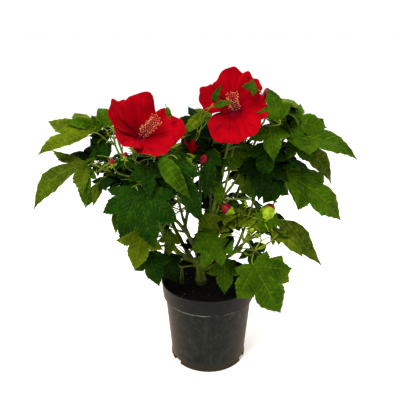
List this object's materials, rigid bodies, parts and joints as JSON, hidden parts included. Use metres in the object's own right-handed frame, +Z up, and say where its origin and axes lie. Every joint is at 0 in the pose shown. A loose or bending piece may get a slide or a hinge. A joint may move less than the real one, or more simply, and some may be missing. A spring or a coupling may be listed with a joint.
{
  "type": "potted hibiscus shrub",
  "caption": "Bushy rose mallow shrub with lobed leaves and large open red blooms, standing in a round plastic nursery pot filled with peat soil.",
  "frame": {"origin": "centre of the pot's flat underside", "axes": "+Z up along the pot's axis; the side with the open blooms and the large drooping leaves faces -Y; +X is to the right as seen from that side"},
  "size_m": [0.5749, 0.3605, 0.5836],
  "materials": {
    "pot": "satin dark grey injection-moulded plastic, dusty and scuffed",
    "soil": "moist dark peat compost with fibres",
    "stem": "green young bark, faintly ribbed",
    "leaf": "satin green leaf blades with raised veins",
    "petal": "soft ruffled red petals"
  },
  "bodies": {
    "root": {"pot": "pot", "soil": "soil", "trunk": "stem", "bough_left": "stem", "bough_left_high": "stem", "bough_centre": "stem", "bough_right": "stem", "bough_right_low": "stem", "bough_back": "stem", "bough_back_left": "stem", "bough_back_right": "stem", "small_shoot": "stem", "bloom_left": "petal", "bloom_right": "petal", "foliage_upper_left": "leaf", "foliage_mid_left": "leaf", "foliage_inner_left": "leaf", "foliage_front_left": "leaf", "foliage_low_left": "leaf", "foliage_rim_left": "leaf", "foliage_over_pot_left": "leaf", "foliage_by_bough": "leaf", "foliage_under_left_bloom": "leaf", "foliage_front_centre": "leaf", "foliage_between_blooms": "leaf", "foliage_centre": "leaf", "foliage_low_centre": "leaf", "foliage_over_pot": "leaf", "foliage_low_right": "leaf", "foliage_right_spray": "leaf", "foliage_mid_right": "leaf", "foliage_right_behind": "leaf", "foliage_upper_right": "leaf", "foliage_top_right": "leaf", "foliage_under_right_bloom": "leaf", "foliage_inner_right": "leaf", "foliage_back_left": "leaf", "foliage_back_centre": "leaf", "foliage_back_right": "leaf", "foliage_back_low_left": "leaf", "foliage_back_low_right": "leaf"}
  },
  "joints": []
}
